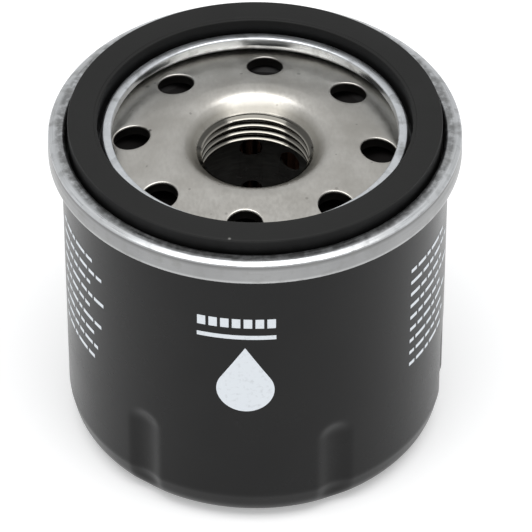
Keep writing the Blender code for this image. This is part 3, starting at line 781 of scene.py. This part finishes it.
def make_gasket(material):
    """Square-section gasket with a shallow moulded step along the inner edge of its face."""
    outline = rounded(
        [
            (GASKET_HIGH.x, GASKET_LOW.z, 0.3 * MM),
            (GASKET_HIGH.x, HEIGHT, 0.22 * MM),
            (GASKET_INNER + 0.65 * MM, HEIGHT, 0.12 * MM),
            (GASKET_INNER + 0.5 * MM, HEIGHT - GASKET_STEP, 0.06 * MM),
            (GASKET_INNER, HEIGHT - GASKET_STEP, 0.22 * MM),
            (GASKET_INNER, GASKET_LOW.z, 0.3 * MM),
        ],
        4,
    )
    finish(turn("face_gasket", outline, 240), material, "housing", "gasket")


# Tapping plate


def plate_top(radius):
    """Height of the plate's upper face, which slopes down from its crest."""
    return CREST_Z - (radius - CREST_RADIUS) * math.tan(PLATE_SLOPE)


def sector_edge(angle):
    """Point on the edge of one hole's sector, in a direction from the hole's centre."""
    half_way = SECTOR_COLUMNS + SECTOR_ROWS
    middle = SECTOR_COLUMNS // 2
    place = (round(angle / math.pi * half_way) + middle) % (2 * half_way)
    start, end, sign = FLANGE_RADIUS, CREST_RADIUS, 1
    if place > half_way:
        place -= half_way
        start, end, sign = end, start, -1
    radius = start + (end - start) * max(place - SECTOR_COLUMNS, 0) / SECTOR_ROWS
    swing = sign * min(place / middle - 1, 1) * math.pi / INLET_HOLES
    return radius * math.cos(swing), radius * math.sin(swing)


def spread_to_sector(level):
    """Extrude the selected loop round a hole out to the sector's edge, with rings in between."""
    extrude_selected()

    def to_edge(co):
        x, y = sector_edge(math.atan2(co.y, co.x - INLET_CIRCLE))
        return Vector((x, y, level))

    move_selected(to_edge)
    shape = edit_mesh()
    spokes = [edge for edge in shape.edges if edge.verts[0].select != edge.verts[1].select]
    bpy.ops.mesh.select_mode(type="EDGE")
    select_nothing()
    for edge in spokes:
        edge.select = True
    show_edits()
    bpy.ops.mesh.subdivide(number_cuts=6)


def on_ring(centre, radius, level):
    """Test for the vertices of a level ring whose middle is at x = centre."""

    def test(co):
        reach = math.hypot(co.x - centre, co.y)
        return abs(reach - radius) < MERGE and abs(co.z - level) < MERGE

    return test


def ring_to(centre, radius, level):
    """Move the selected ring, whose middle is at x = centre, to another radius and level."""

    def place(co):
        grown = radius / math.hypot(co.x - centre, co.y)
        return Vector((centre + (co.x - centre) * grown, co.y * grown, level))

    move_selected(place)


def draw_round(points):
    """Extrude the selected ring round the axis through (radius, height) points."""
    for radius, level in points:
        extrude_selected()
        ring_to(0, radius, level)


def make_thread_tool():
    """A rod with the thread's shape all along it, rounded at crest and root, to cut the hub."""
    flank = (THREAD_MAJOR - THREAD_MINOR) * math.tan(math.radians(30))
    crest = THREAD_PITCH / 8
    root = (THREAD_PITCH - 2 * flank) / 2 - crest
    start = PLATE_LOW.z - THREAD_LEAD - THREAD_PITCH / 2
    turns = math.ceil((CREST_Z - start) / THREAD_PITCH)
    profile = rounded(
        [
            (THREAD_MINOR, start, 0),
            (THREAD_MINOR, start + crest, 0.14 * MM),
            (THREAD_MAJOR, start + crest + flank, 0.08 * MM),
            (THREAD_MAJOR, start + crest + flank + 2 * root, 0.08 * MM),
            (THREAD_MINOR, start + THREAD_PITCH - crest, 0.14 * MM),
            (THREAD_MINOR, start + THREAD_PITCH, 0),
        ],
        3,
    )
    draw_line("thread_rod", [(r, 0, z) for r, z in profile])
    rod = leave_edit()
    apply_modifier(
        rod,
        "SCREW",
        axis="Z",
        angle=math.tau,
        steps=96,
        render_steps=96,
        screw_offset=THREAD_PITCH,
        iterations=turns,
        use_merge_vertices=False,
    )
    edit(rod)
    merge_doubles()
    select_nothing()
    bpy.ops.mesh.select_non_manifold()
    bpy.ops.mesh.fill_holes(sides=0)
    clean()
    return leave_edit()


def plate_mouth():
    """The crest's rounding and the lead-in cone, from the web to just inside the thread's crest."""
    centre = (
        CREST_RADIUS - CREST_ROUND * math.sin(PLATE_SLOPE),
        CREST_Z - CREST_ROUND * math.cos(PLATE_SLOPE),
    )
    web_side = math.pi / 2 - PLATE_SLOPE
    cone_side = math.pi / 2 + MOUTH_SLOPE
    crest = arc(centre, CREST_ROUND, web_side, cone_side, MOUTH_STEPS)
    radius, level = crest[-1]
    return crest[1:] + [(THREAD_CORE, level - (radius - THREAD_CORE) * math.tan(MOUTH_SLOPE))]


def make_tapping_plate(material):
    """Plate pressed from a punched blank, with its turned and tapped hub."""
    drop = PLATE_THICKNESS / math.cos(PLATE_SLOPE)
    brow = INLET_RADIUS + PUNCH_ROUND
    sides = 2 * (SECTOR_COLUMNS + SECTOR_ROWS)
    bpy.ops.mesh.primitive_circle_add(vertices=sides, radius=brow)
    plate = edit_new("tapped_plate")
    bpy.ops.transform.translate(value=(INLET_CIRCLE, 0, 0))
    spread_to_sector(0.0)
    select_verts(on_ring(INLET_CIRCLE, brow, 0.0))
    for step in (1, 2, 3):
        angle = math.pi / 2 * step / 3
        extrude_selected()
        inset = PUNCH_ROUND * math.sin(angle)
        ring_to(INLET_CIRCLE, brow - inset, PUNCH_ROUND * (math.cos(angle) - 1))
    extrude_selected()
    ring_to(INLET_CIRCLE, INLET_RADIUS, -0.6 * drop)
    extrude_selected()
    ring_to(INLET_CIRCLE, INLET_RADIUS + PUNCH_FLARE, -drop)
    spread_to_sector(-drop)
    bpy.ops.mesh.select_mode(type="VERT")
    select_all()
    copy_round(INLET_HOLES)
    merge_doubles()
    turn_start = Matrix.Rotation(INLET_START, 4, "Z")

    def press(co):
        pressed = turn_start @ co
        pressed.z += plate_top(math.hypot(co.x, co.y))
        return pressed

    move_selected(press)

    rim = plate_top(FLANGE_RADIUS)
    outer = PLATE_HIGH.x
    select_verts(on_ring(0, FLANGE_RADIUS, rim))
    draw_round(
        [
            (outer - FLANGE_EDGE, rim),
            (outer, rim - FLANGE_EDGE),
            (outer, rim - PLATE_THICKNESS + FLANGE_EDGE),
            (outer - FLANGE_EDGE, rim - PLATE_THICKNESS),
            (FLANGE_RADIUS, rim - drop),
        ]
    )
    select_verts(on_ring(0, CREST_RADIUS, CREST_Z))
    under = CREST_Z - drop
    hub = rounded(
        [
            (THREAD_CORE, PLATE_LOW.z, 0),
            (HUB_RADIUS, PLATE_LOW.z, 0.5 * MM),
            (HUB_RADIUS, under - 0.9 * MM, 1.2 * MM),
            (CREST_RADIUS - 0.4 * MM, under, 1.2 * MM),
            (CREST_RADIUS, under, 0),
        ],
        4,
    )
    draw_round(plate_mouth() + hub)
    clean()
    leave_edit()
    cut(plate, make_thread_tool())
    finish(plate, material, "housing", "tapping_plate", sharp=40)


def make_drainback_valve(material):
    """Rubber collar and thin skirt; the collar grips the hub while the skirt flexes."""
    low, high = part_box("anti_drainback_valve")
    foot_top = PLATE_LOW.z - CLEARANCE
    collar_inner = HUB_RADIUS + CLEARANCE
    collar_outer = HUB_RADIUS + 2.3 * MM
    collar_top = PLATE_LOW.z + 2.0 * MM
    outline = rounded(
        [
            (collar_inner, collar_top, 0.3 * MM),
            (collar_outer, collar_top, 0.5 * MM),
            (high.x - 1.6 * MM, high.z - 0.7 * MM, 0.6 * MM),
            (high.x - 0.8 * MM, high.z, 0.3 * MM),
            (high.x, high.z, 0.2 * MM),
            (high.x, high.z - 0.5 * MM, 0.2 * MM),
            (high.x - 0.9 * MM, high.z - 1.5 * MM, 0.5 * MM),
            (collar_outer + 0.6 * MM, collar_top - MM, 0.4 * MM),
            (collar_outer, collar_top - 1.6 * MM, 0.4 * MM),
            (collar_outer, low.z, 0.15 * MM),
            (VALVE_FOOT, low.z, 0.15 * MM),
            (VALVE_FOOT, foot_top, 0.15 * MM),
            (collar_inner, foot_top, 0.2 * MM),
        ],
        4,
    )
    valve = turn("drainback_valve", outline, 200)
    flex = ("drainback_valve", PLATE_LOW.z + 1.4 * MM, high.z)
    finish(valve, material, "housing", "anti_drainback_valve", blend=flex)


# Element


def turned_copy(name, node, outline, material, body, steps=160):
    """A turned piece with rounded corners in place of a CAD node of plain ones."""
    finish(turn(name, rounded(outline, 4), steps), material, body, node)


def make_end_cap(name, node, material, bore, upwards):
    """Shallow pressed dish over one end of the pleats."""
    low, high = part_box(node)
    face, rim, back = (high.z, low.z, -1) if upwards else (low.z, high.z, 1)
    outline = [
        (bore, face, 0.1 * MM),
        (high.x, face, 0.9 * MM),
        (high.x, rim, 0.15 * MM),
        (high.x - INNER_SHEET, rim, 0.15 * MM),
        (high.x - INNER_SHEET, face + back * INNER_SHEET, 0.4 * MM),
        (bore, face + back * INNER_SHEET, 0.1 * MM),
    ]
    turned_copy(name, node, outline, material, "element", 200)


def make_adhesive(name, node, material):
    low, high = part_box(node)
    outline = plain_section(TUBE_HIGH.x + CLEARANCE, high.x, low.z, high.z, 0.25 * MM)
    turned_copy(name, node, outline, material, "element", 200)


def make_pleats(material):
    """Paper folded over and back in one pleat, copied round and given its thickness."""
    tip = MEDIA_HIGH.x - PAPER / 2
    root = PLEAT_ROOT + PAPER / 2
    half = math.pi / PLEATS
    neck = tip - 1.2 * PLEAT_FOLD
    throat = root + 0.9 * PLEAT_FOLD
    inside = throat * math.sin(half) - 0.42 * PLEAT_FOLD
    side = [(throat * math.cos(half), inside), (neck, PLEAT_FOLD)]
    crown = [(tip - 0.3 * PLEAT_FOLD, 0.62 * PLEAT_FOLD), (tip, 0)]
    upper = [(root * math.cos(half), root * math.sin(half))] + side + crown
    lower = [(x, -y) for x, y in reversed(upper[:-1])]
    draw_line("pleated_paper", [(x, y, MEDIA_LOW.z) for x, y in upper + lower])
    select_all()
    copy_round(PLEATS)
    merge_doubles(0.01 * MM)
    rows = 4
    for _ in range(rows):
        extrude_selected((MEDIA_HIGH.z - MEDIA_LOW.z) / rows)
    clean(((tip, 0, MEDIA_LOW.z), (1, 0, 0)))
    paper = leave_edit()
    thicken(paper, PAPER, 0.0)
    finish(paper, material, "element", "filter_media", sharp=50)


def make_seam_clip(material):
    """Crimped metal strip that joins the two ends of the pleated paper."""
    low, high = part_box("media_seam_clip")
    strip = 0.3 * MM
    half = high.y - strip / 2
    back = high.x - strip / 2
    corners = [(low.x, -half, 0), (back, -half, 0.5 * MM), (back, half, 0.5 * MM), (low.x, half, 0)]
    path = rounded(corners, 4)
    draw_line("paper_clip", [(x, y, low.z) for x, y in path])
    select_all()
    crimps = 12
    for _ in range(crimps):
        extrude_selected((high.z - low.z) / crimps)
    clean(((back, 0, low.z), (1, 0, 0)))
    clip = leave_edit()
    thicken(clip, strip, 0.0)
    finish(clip, material, "element", "media_seam_clip")


def make_centre_tube(material):
    """Tube wound from perforated strip, so its rows of holes run down in a helix."""
    outline = plain_section(TUBE_INNER, TUBE_HIGH.x, TUBE_LOW.z, TUBE_HIGH.z, 0.1 * MM)
    tube = turn("wound_tube", rounded(outline, 2), 180)
    drop_per_turn = PERFORATION_DROP * math.tau / abs(PERFORATION_STEP)
    reach = math.ceil((TUBE_HIGH.z - TUBE_LOW.z + drop_per_turn) / PERFORATION_DROP)
    bpy.ops.mesh.primitive_cylinder_add(vertices=24, radius=PERFORATION_RADIUS, depth=4 * MM)
    punch = edit_new("punches")
    move_selected(lambda co: Vector((co.z, co.x, co.y)))
    peg = punch.data
    leave_edit()
    single = [vertex.co.copy() for vertex in peg.vertices]
    faces = [list(face.vertices) for face in peg.polygons]
    points, loops = [], []
    for row in range(PERFORATION_ROWS):
        for i in range(-reach, reach + 1):
            z = FIRST_PERFORATION_Z - PERFORATION_DROP * i - drop_per_turn / PERFORATION_ROWS * row
            if not TUBE_LOW.z + PERFORATION_MARGIN < z < TUBE_HIGH.z - PERFORATION_MARGIN:
                continue
            angle = FIRST_PERFORATION + PERFORATION_STEP * i
            place = Matrix.Rotation(angle, 4, "Z") @ Matrix.Translation((TUBE_INNER, 0, z))
            loops += [[len(points) + k for k in face] for face in faces]
            points += [place @ co for co in single]
    punches = bpy.data.meshes.new("punches")
    punches.from_pydata(points, [], loops)
    punch.data = punches
    edit(punch)
    clean()
    leave_edit()
    cut(tube, punch)
    finish(tube, material, "element", "centre_tube")


def make_coil(name, node, material, radius, wire, active, body, other, fixed_low):
    """Compression spring with closed ends, drawn as a wire along a coil and turned into a mesh."""
    low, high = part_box(node)
    turns = active + 1.5
    count = round(turns * COIL_STEPS)
    curve = bpy.data.curves.new(name, "CURVE")
    curve.dimensions = "3D"
    curve.bevel_depth = wire
    curve.bevel_resolution = 4
    curve.use_fill_caps = True
    spline = curve.splines.new("POLY")
    spline.points.add(count)
    for i, point in enumerate(spline.points):
        around = turns * i / count
        rise = min(max((around - 0.75) / active, 0.0), 1.0)
        eased = rise * rise * (3 - 2 * rise) * 0.3 + rise * 0.7
        z = low.z + wire + eased * (high.z - low.z - 2 * wire)
        point.co = (radius * math.cos(math.tau * around), radius * math.sin(math.tau * around), z, 1)
    spring = bpy.data.objects.new(name, curve)
    bpy.context.scene.collection.objects.link(spring)
    pick(spring)
    bpy.ops.object.convert(target="MESH")
    edit(spring)
    clean()
    leave_edit()
    ends = (low.z + 1.2 * wire, high.z) if fixed_low else (high.z - 1.2 * wire, low.z)
    finish(spring, material, body, node, blend=(other, *ends))


def make_bypass_cup(steel):
    """Stamped cup in the lower end cap, with a raised bead that the valve seals on."""
    low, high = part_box("bypass_body")
    base = low.z + 0.8 * MM
    floor = base - INNER_SHEET
    lip = low.z + INNER_SHEET
    body = [
        (SEAT_RADIUS, base + 0.7 * MM, 0.2 * MM),
        (SEAT_RADIUS + 0.8 * MM, base + 0.7 * MM, 0.25 * MM),
        (SEAT_RADIUS + 1.2 * MM, base, 0.2 * MM),
        (CUP_RADIUS, base, 0.25 * MM),
        (CUP_RADIUS, high.z, 0.15 * MM),
        (CUP_RADIUS + INNER_SHEET, high.z, 0.15 * MM),
        (CUP_RADIUS + INNER_SHEET, lip, 0.1 * MM),
        (high.x, lip, 0.15 * MM),
        (high.x, low.z, 0.15 * MM),
        (CUP_RADIUS, low.z, 0.15 * MM),
        (CUP_RADIUS - 0.4 * MM, floor, 0.15 * MM),
        (SEAT_RADIUS + 0.4 * MM, floor, 0.15 * MM),
        (SEAT_RADIUS, base, 0.1 * MM),
    ]
    turned_copy("bypass_cup", "bypass_body", body, steel, "element")


def make_bypass_cage(steel):
    """Domed cage that holds the valve's spring, with three windows for the oil."""
    low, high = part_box("bypass_retainer")
    wall = high.x - INNER_SHEET
    ceiling = high.z - INNER_SHEET
    outline = [
        (PIN_BORE, high.z, 0.1 * MM),
        (high.x, high.z, 1.4 * MM),
        (high.x, low.z, 0.15 * MM),
        (wall, low.z, 0.15 * MM),
        (wall, ceiling, 0.9 * MM),
        (PIN_BORE, ceiling, 0.1 * MM),
    ]
    cage = turn("bypass_cage", rounded(outline, 4), 120)
    bpy.ops.mesh.primitive_cube_add(size=1)
    window = edit_new("windows")
    bpy.ops.transform.resize(value=(4 * MM, 7 * MM, 6 * MM))
    bpy.ops.transform.translate(value=(high.x, 0, low.z + 6.7 * MM))
    bpy.ops.mesh.select_mode(type="EDGE")
    select_nothing()
    for edge in edit_mesh().edges:
        edge.select = abs(edge.verts[0].co.x - edge.verts[1].co.x) > MM
    show_edits()
    bpy.ops.mesh.bevel(offset=1.2 * MM, segments=4)
    bpy.ops.mesh.select_mode(type="VERT")
    select_all()
    copy_round(3)
    clean()
    leave_edit()
    cut(cage, window)
    finish(cage, steel, "element", "bypass_retainer")


def make_bypass_valve(steel, rubber_face):
    """What lifts off the seat: a steel plate, its rubber washer and the rivet through both."""
    low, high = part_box("bypass_disc")
    disc = plain_section(WASHER_BORE, high.x, low.z, high.z, 0.15 * MM)
    turned_copy("bypass_plate", "bypass_disc", disc, steel, "bypass_valve")

    low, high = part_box("bypass_rivet")
    shank = 1.4 * MM
    under = high.z - 2.1 * MM
    flange = low.z + 0.6 * MM
    rivet = [
        (0, high.z, 0),
        (2.2 * MM, high.z, 0.9 * MM),
        (2.2 * MM, under, 0.1 * MM),
        (shank, under, 0.1 * MM),
        (shank, flange, 0.1 * MM),
        (2.6 * MM, flange, 0.1 * MM),
        (2.6 * MM, low.z, 0.45 * MM),
        (0, low.z, 0),
    ]
    pin = turn("bypass_pin", rounded(rivet, 5), 64, closed=False)
    finish(pin, steel, "bypass_valve", "bypass_rivet")

    low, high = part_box("bypass_seal")
    seal = plain_section(WASHER_BORE, high.x, low.z, high.z, 0.25 * MM)
    turned_copy("bypass_washer", "bypass_seal", seal, rubber_face, "bypass_valve")


# Printing on the can


def wrap_on_can(piece, angle, height):
    """Bend a flat mark drawn in the XY plane round the can, its middle at an angle and height."""
    edit(piece)
    select_all()
    radius = CAN_RADIUS + INK_LIFT

    def place(co):
        around = angle + co.x / CAN_RADIUS
        return Vector((radius * math.cos(around), radius * math.sin(around), height + co.y))

    move_selected(place)
    out = (math.cos(angle), math.sin(angle), 0)
    clean(((radius * out[0], radius * out[1], height), out))
    leave_edit()
    thicken(piece, INK, 1.0)


def flat_bars(name, bars):
    """Flat rectangles of (x, y, width, height), each cut fine enough to bend."""
    bpy.ops.mesh.primitive_plane_add(size=MM)
    edit_new(name)
    bpy.ops.mesh.delete(type="VERT")
    for x, y, width, height in bars:
        cuts = max(2, math.ceil(width / BEND_STEP))
        select_nothing()
        bpy.ops.mesh.primitive_grid_add(x_subdivisions=cuts, y_subdivisions=1, size=1)
        bpy.ops.transform.resize(value=(width, height, 1), center_override=(0, 0, 0))
        bpy.ops.transform.translate(value=(x, y, 0))
    return leave_edit()


def fill_outline(name, points):
    """A flat mark inside an outline, cut across fine enough to bend."""
    draw_line(name, [(x, y, 0) for x, y in points], closed=True)
    select_all()
    bpy.ops.mesh.fill()
    reach = max(abs(x) for x, _ in points)
    steps = math.ceil(2 * reach / BEND_STEP)
    for i in range(1, steps):
        select_all()
        cut_at = -reach + 2 * reach * i / steps
        bpy.ops.mesh.bisect(plane_co=(cut_at, 0, 0), plane_no=(1, 0, 0))
    return leave_edit()


def drop_outline(radius, tip, steps=40):
    """A plain oil drop: a round belly that narrows to a tip above it."""
    reach = math.acos(radius / tip)
    points = arc((0, 0), radius, math.pi / 2 + reach, 5 * math.pi / 2 - reach, steps)
    return points + [(0, tip)]


def dash_block(name, angle, low, high):
    """Nine rows of plain dashes of uneven widths, between two heights."""
    rows = 9
    dashes = []
    for row in range(rows):
        y = high - (high - low) * row / (rows - 1)
        x = -7.0 * MM
        for k in range(5 + row % 2):
            width = DASH_WIDTHS[(3 * row + k) % len(DASH_WIDTHS)] * MM
            dashes.append((x + width / 2, y - DASH_CENTRE, width, DASH_HEIGHT))
            x += width + DASH_GAP
    block = flat_bars(name, dashes)
    wrap_on_can(block, angle, DASH_CENTRE)
    return block


def print_marks(material):
    """Plain marks in place of lettering: a drop, a row of bars over a line, and rows of dashes."""
    drop = fill_outline("print_drop", drop_outline(5.0 * MM, 9.6 * MM))
    wrap_on_can(drop, math.radians(-93.0), 31.4 * MM)
    finish(drop, material, "housing")

    bars = [(0, 0, 13.6 * MM, 0.9 * MM)]
    bars += [((i - 3) * 2.0 * MM, 3.1 * MM, 1.45 * MM, 2.0 * MM) for i in range(7)]
    row = flat_bars("print_bars", bars)
    wrap_on_can(row, math.radians(-95.6), 43.4 * MM)
    finish(row, material, "housing")

    left = dash_block("print_left", math.radians(-157.0), 25.5 * MM, 47.5 * MM)
    finish(left, material, "housing")
    right = dash_block("print_right", math.radians(-25.0), 25.0 * MM, 46.5 * MM)
    finish(right, material, "housing")


# Room, lights and camera


def make_floor():
    bpy.ops.mesh.primitive_plane_add(size=6)
    floor = bpy.context.object
    floor.name = "floor"
    paper = bpy.data.materials.new("studio_paper")
    paper.use_nodes = True
    white = {"Base Color": (0.93, 0.93, 0.93, 1), "Roughness": 0.9, "Specular IOR Level": 0.1}
    glow = {"Emission Color": (1, 1, 1, 1), "Emission Strength": 0.3}
    set_inputs(paper.node_tree.nodes["Principled BSDF"], white | glow)
    floor.data.materials.append(paper)


def make_light():
    """A pale room all round, and one softbox overhead of a set brightness."""
    world = bpy.data.worlds.new("studio")
    world.use_nodes = True
    sky = {"Color": (0.98, 0.99, 1.0, 1), "Strength": 0.62}
    set_inputs(world.node_tree.nodes["Background"], sky)
    bpy.context.scene.world = world
    light = bpy.data.lights.new("overhead", "AREA")
    light.shape = "RECTANGLE"
    light.size = 1.0
    light.size_y = 0.46
    light.energy = 3.0 * math.pi * light.size * light.size_y
    softbox = bpy.data.objects.new("overhead", light)
    bpy.context.scene.collection.objects.link(softbox)
    softbox.location = (0, -0.2, 0.85)
    bpy.context.scene.view_settings.view_transform = "Standard"


def make_camera():
    centre = Vector((0, 0, HEIGHT))
    back = Vector((0, -math.cos(CAMERA_ELEVATION), math.sin(CAMERA_ELEVATION)))
    data = bpy.data.cameras.new("camera")
    data.lens = CAMERA_LENS
    data.sensor_width = 36
    camera = bpy.data.objects.new("camera", data)
    bpy.context.scene.collection.objects.link(camera)
    camera.location = centre + back * CAMERA_DISTANCE
    camera.rotation_euler = (math.pi / 2 - CAMERA_TILT, 0, CAMERA_PAN)
    bpy.context.scene.camera = camera


mottle = make_mottle_group()
specks = make_specks_group()
round_streaks = make_round_streaks_group()

make_camera()
make_light()
make_floor()

make_can(black_paint())
make_lid(lid_zinc())
make_seam_compound(cast_resin("lining_compound", (0.3, 0.28, 0.25), (0.42, 0.4, 0.36)))
gasket_rubber = rubber("gasket_rubber", (0.002, 0.002, 0.002), 0.07)
make_gasket(gasket_rubber)
make_tapping_plate(plate_steel())
make_drainback_valve(rubber("valve_rubber", (0.006, 0.005, 0.0048), 0.02))

plain_steel = sheet_steel("plain_steel", (0.42, 0.42, 0.41), (0.56, 0.56, 0.55), 0.36)
spring_steel = sheet_steel("spring_steel", (0.22, 0.22, 0.23), (0.36, 0.36, 0.37), 0.32)
dark_steel = sheet_steel("tube_steel", (0.1, 0.097, 0.09), (0.17, 0.165, 0.155), 0.24, 0.6)
adhesive = cast_resin("end_adhesive", (0.2, 0.26, 0.17), (0.3, 0.36, 0.25))
make_end_cap("upper_cap", "upper_end_cap", plain_steel, TUBE_INNER, True)
make_end_cap("lower_cap", "lower_end_cap", plain_steel, 10.9 * MM, False)
make_adhesive("upper_adhesive", "upper_potting", adhesive)
make_adhesive("lower_adhesive", "lower_potting", adhesive)
make_pleats(filter_paper())
make_seam_clip(plain_steel)
make_centre_tube(dark_steel)
make_bypass_cup(plain_steel)
make_bypass_cage(plain_steel)
make_bypass_valve(plain_steel, gasket_rubber)
make_coil(
    "support_spring", "element_spring", spring_steel, 16.5 * MM, 0.9 * MM, 1.75,
    "housing", "element", True,
)
make_coil(
    "valve_spring", "bypass_spring", spring_steel, 5.0 * MM, 0.45 * MM, 2.5,
    "element", "bypass_valve", False,
)
print_marks(print_ink())
